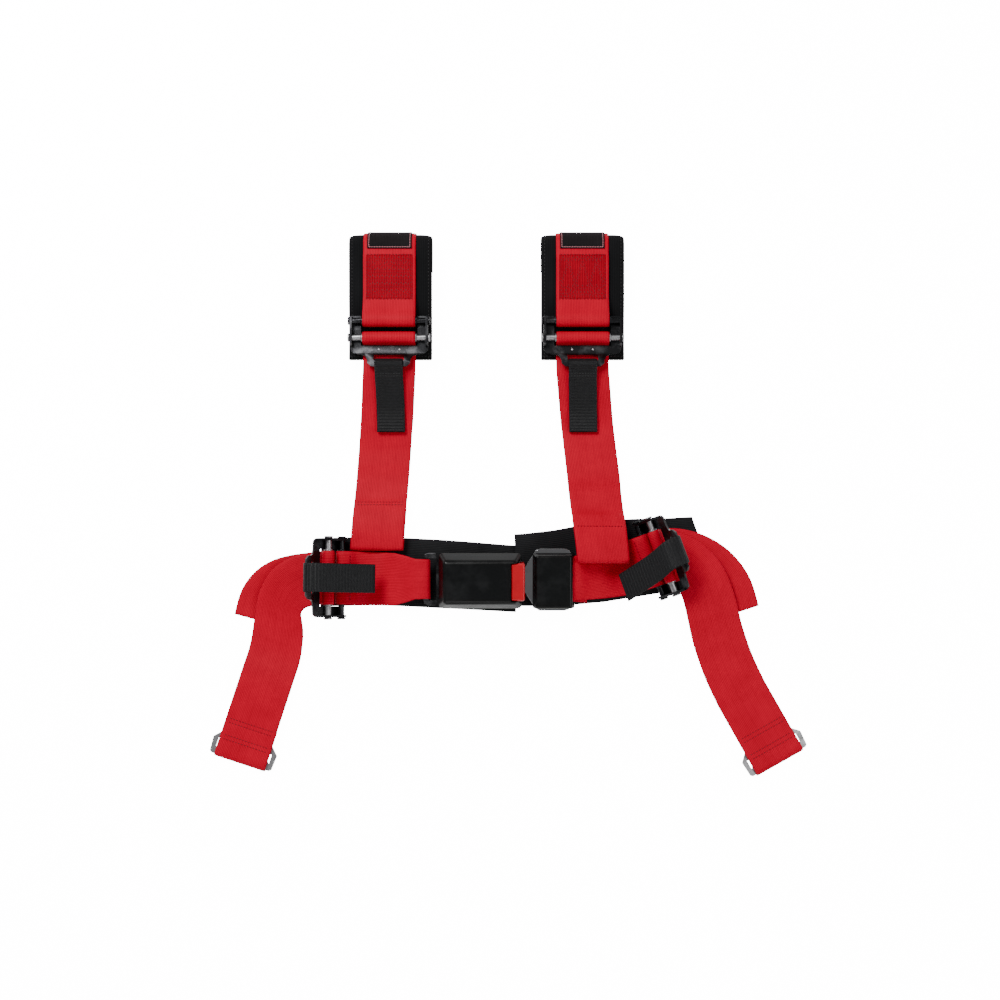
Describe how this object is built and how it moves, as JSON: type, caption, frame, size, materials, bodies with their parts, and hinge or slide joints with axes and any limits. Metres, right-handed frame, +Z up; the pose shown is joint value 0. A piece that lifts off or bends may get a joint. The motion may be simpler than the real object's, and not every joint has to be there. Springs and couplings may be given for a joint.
{
  "type": "racing harness",
  "caption": "Webbing harness with padded shoulder and lap straps, tilt-lock adjusters with pull tabs, push-button buckle and bolt-in anchor plates.",
  "frame": {"origin": "middle of the bounding box in plan, on the table that the harness lies on", "axes": "+Z up from the table, +X along the lap strap towards the tongue side, +Y towards the shoulder straps"},
  "size_m": [0.5692, 0.5242, 0.0533],
  "materials": {
    "red_webbing": "woven polyester, slight sheen",
    "black_webbing": "ribbed narrow weave",
    "pad_fabric": "ribbed woven cover over foam",
    "label_fabric": "flat woven patch with a pink stitched border",
    "black_steel": "satin black plating",
    "zinc_steel": "satin zinc plating",
    "spring_steel": "plain drawn wire",
    "chrome": "polished chrome plating",
    "black_plastic": "fine moulded texture",
    "red_plastic": "smooth moulded",
    "white_plastic": "smooth moulded"
  },
  "bodies": {
    "lap_left": {"buckle_cover_top": "black_plastic", "buckle_cover_bottom": "black_plastic", "buckle_frame": "black_steel", "latch_pin": "zinc_steel", "latch_spring": "spring_steel", "button_spring": "spring_steel", "ejector_spring": "spring_steel", "cover_screw_1": "zinc_steel", "cover_screw_2": "zinc_steel", "cover_screw_3": "zinc_steel", "cover_screw_4": "zinc_steel", "lap_strap_inner_left": "red_webbing", "lap_pad_left": "pad_fabric"},
    "button": {"release_button": "red_plastic"},
    "latch": {"latch_pawl": "zinc_steel"},
    "ejector": {"ejector": "white_plastic"},
    "lap_right": {"tongue_plate": "chrome", "tongue_cover_top": "black_plastic", "tongue_cover_bottom": "black_plastic", "lap_strap_inner_right": "red_webbing", "lap_pad_right": "pad_fabric"},
    "shoulder_lower_left": {"shoulder_strap_lower_left": "red_webbing"},
    "shoulder_adjuster_left": {"shoulder_adjuster_left_frame": "black_steel", "shoulder_adjuster_left_fixed_bar": "black_steel", "shoulder_adjuster_left_slide_bar": "zinc_steel"},
    "shoulder_upper_left": {"shoulder_strap_upper_left": "red_webbing", "shoulder_pad_left": "pad_fabric", "label_patch_left": "label_fabric"},
    "shoulder_tab_left": {"shoulder_adjuster_left_pull_tab": "black_webbing"},
    "shoulder_anchor_left": {"shoulder_anchor_left": "zinc_steel"},
    "lap_adjuster_left": {"lap_adjuster_left_frame": "black_steel", "lap_adjuster_left_fixed_bar": "black_steel", "lap_adjuster_left_slide_bar": "zinc_steel"},
    "lap_outer_left": {"lap_strap_outer_left": "red_webbing"},
    "lap_tab_left": {"lap_adjuster_left_pull_tab": "black_webbing"},
    "lap_anchor_left": {"lap_anchor_left": "zinc_steel"},
    "shoulder_lower_right": {"shoulder_strap_lower_right": "red_webbing"},
    "shoulder_adjuster_right": {"shoulder_adjuster_right_frame": "black_steel", "shoulder_adjuster_right_fixed_bar": "black_steel", "shoulder_adjuster_right_slide_bar": "zinc_steel"},
    "shoulder_upper_right": {"shoulder_strap_upper_right": "red_webbing", "shoulder_pad_right": "pad_fabric", "label_patch_right": "label_fabric"},
    "shoulder_tab_right": {"shoulder_adjuster_right_pull_tab": "black_webbing"},
    "shoulder_anchor_right": {"shoulder_anchor_right": "zinc_steel"},
    "lap_adjuster_right": {"lap_adjuster_right_frame": "black_steel", "lap_adjuster_right_fixed_bar": "black_steel", "lap_adjuster_right_slide_bar": "zinc_steel"},
    "lap_outer_right": {"lap_strap_outer_right": "red_webbing"},
    "lap_tab_right": {"lap_adjuster_right_pull_tab": "black_webbing"},
    "lap_anchor_right": {"lap_anchor_right": "zinc_steel"}
  },
  "joints": [
    {"name": "button_press", "type": "slide", "parent": "lap_left", "child": "button", "axis": [1, 0, 0], "range_m": [0, 0.003], "stiffness_N_per_m": 600, "springref_m": 0.003},
    {"name": "latch_pivot", "type": "hinge", "parent": "lap_left", "child": "latch", "pos_m": [-0.03443, -0.07676, 0.02819], "axis": [0, 0.9848, 0.1736], "range_deg": [0, 5]},
    {"name": "tongue_slide", "type": "slide", "parent": "lap_left", "child": "lap_right", "axis": [1, 0, 0], "range_m": [0, 0.045]},
    {"name": "ejector_slide", "type": "slide", "parent": "lap_left", "child": "ejector", "axis": [1, 0, 0], "range_m": [0, 0.008]},
    {"name": "shoulder_swing_left", "type": "hinge", "parent": "lap_left", "child": "shoulder_lower_left", "pos_m": [-0.12593, -0.04359, 0.0115], "axis": [1, 0, 0], "range_deg": [0, 60]},
    {"name": "shoulder_adjuster_tilt_left", "type": "hinge", "parent": "shoulder_lower_left", "child": "shoulder_adjuster_left", "pos_m": [-0.11463, 0.15661, 0.02468], "axis": [-1, 0, 0], "range_deg": [0, 22]},
    {"name": "shoulder_upper_flex_left", "type": "hinge", "parent": "shoulder_adjuster_left", "child": "shoulder_upper_left", "pos_m": [-0.11463, 0.17291, 0.02468], "axis": [-1, 0, 0], "range_deg": [-22, 0]},
    {"name": "shoulder_tab_lift_left", "type": "hinge", "parent": "shoulder_adjuster_left", "child": "shoulder_tab_left", "pos_m": [-0.11463, 0.13141, 0.02588], "axis": [-1, 0, 0], "range_deg": [0, 67]},
    {"name": "shoulder_anchor_turn_left", "type": "hinge", "parent": "shoulder_upper_left", "child": "shoulder_anchor_left", "pos_m": [-0.11463, 0.18991, 0.00518], "axis": [1, 0, 0], "range_deg": [0, 90]},
    {"name": "lap_adjuster_tilt_left", "type": "hinge", "parent": "lap_left", "child": "lap_adjuster_left", "pos_m": [-0.15943, -0.07359, 0.0142], "axis": [0, 1, 0], "range_deg": [0, 22]},
    {"name": "lap_outer_flex_left", "type": "hinge", "parent": "lap_adjuster_left", "child": "lap_outer_left", "pos_m": [-0.17054, -0.07359, 0.02612], "axis": [0, 1, 0], "range_deg": [-22, 0]},
    {"name": "lap_tab_lift_left", "type": "hinge", "parent": "lap_adjuster_left", "child": "lap_tab_left", "pos_m": [-0.18685, -0.07359, 0.04537], "axis": [0, -1, 0], "range_deg": [0, 67]},
    {"name": "lap_anchor_turn_left", "type": "hinge", "parent": "lap_outer_left", "child": "lap_anchor_left", "pos_m": [-0.25473, -0.24529, 0.00518], "axis": [-0.9511, 0.309, 0], "range_deg": [0, 150]},
    {"name": "shoulder_swing_right", "type": "hinge", "parent": "lap_right", "child": "shoulder_lower_right", "pos_m": [0.09007, -0.05609, 0.028], "axis": [0.9848, 0, -0.1736], "range_deg": [0, 60]},
    {"name": "shoulder_adjuster_tilt_right", "type": "hinge", "parent": "shoulder_lower_right", "child": "shoulder_adjuster_right", "pos_m": [0.07157, 0.15661, 0.02468], "axis": [-1, 0, 0], "range_deg": [0, 22]},
    {"name": "shoulder_upper_flex_right", "type": "hinge", "parent": "shoulder_adjuster_right", "child": "shoulder_upper_right", "pos_m": [0.07157, 0.17291, 0.02468], "axis": [-1, 0, 0], "range_deg": [-22, 0]},
    {"name": "shoulder_tab_lift_right", "type": "hinge", "parent": "shoulder_adjuster_right", "child": "shoulder_tab_right", "pos_m": [0.07157, 0.13141, 0.02588], "axis": [-1, 0, 0], "range_deg": [0, 67]},
    {"name": "shoulder_anchor_turn_right", "type": "hinge", "parent": "shoulder_upper_right", "child": "shoulder_anchor_right", "pos_m": [0.07157, 0.18991, 0.00518], "axis": [1, 0, 0], "range_deg": [0, 90]},
    {"name": "lap_adjuster_tilt_right", "type": "hinge", "parent": "lap_right", "child": "lap_adjuster_right", "pos_m": [0.13577, -0.05709, 0.0142], "axis": [0.342, -0.9397, 0], "range_deg": [0, 22]},
    {"name": "lap_outer_flex_right", "type": "hinge", "parent": "lap_adjuster_right", "child": "lap_outer_right", "pos_m": [0.14562, -0.05351, 0.02669], "axis": [0.342, -0.9397, 0], "range_deg": [-22, 0]},
    {"name": "lap_tab_lift_right", "type": "hinge", "parent": "lap_adjuster_right", "child": "lap_tab_right", "pos_m": [0.15998, -0.04828, 0.04676], "axis": [-0.342, 0.9397, 0], "range_deg": [0, 67]},
    {"name": "lap_anchor_turn_right", "type": "hinge", "parent": "lap_outer_right", "child": "lap_anchor_right", "pos_m": [0.25677, -0.24529, 0.00518], "axis": [-0.8746, -0.4848, 0], "range_deg": [0, 150]}
  ],
  "couplings": [
    {"joint": "latch_pivot", "follows": "button_press", "rad_per_m": 29.079},
    {"joint": "ejector_slide", "follows": "tongue_slide", "ratio": 0.1777},
    {"joint": "shoulder_upper_flex_left", "follows": "shoulder_adjuster_tilt_left", "ratio": -1},
    {"joint": "shoulder_tab_lift_left", "follows": "shoulder_adjuster_tilt_left", "ratio": 3},
    {"joint": "lap_outer_flex_left", "follows": "lap_adjuster_tilt_left", "ratio": -1},
    {"joint": "lap_tab_lift_left", "follows": "lap_adjuster_tilt_left", "ratio": 3},
    {"joint": "shoulder_upper_flex_right", "follows": "shoulder_adjuster_tilt_right", "ratio": -1},
    {"joint": "shoulder_tab_lift_right", "follows": "shoulder_adjuster_tilt_right", "ratio": 3},
    {"joint": "lap_outer_flex_right", "follows": "lap_adjuster_tilt_right", "ratio": -1},
    {"joint": "lap_tab_lift_right", "follows": "lap_adjuster_tilt_right", "ratio": 3}
  ]
}
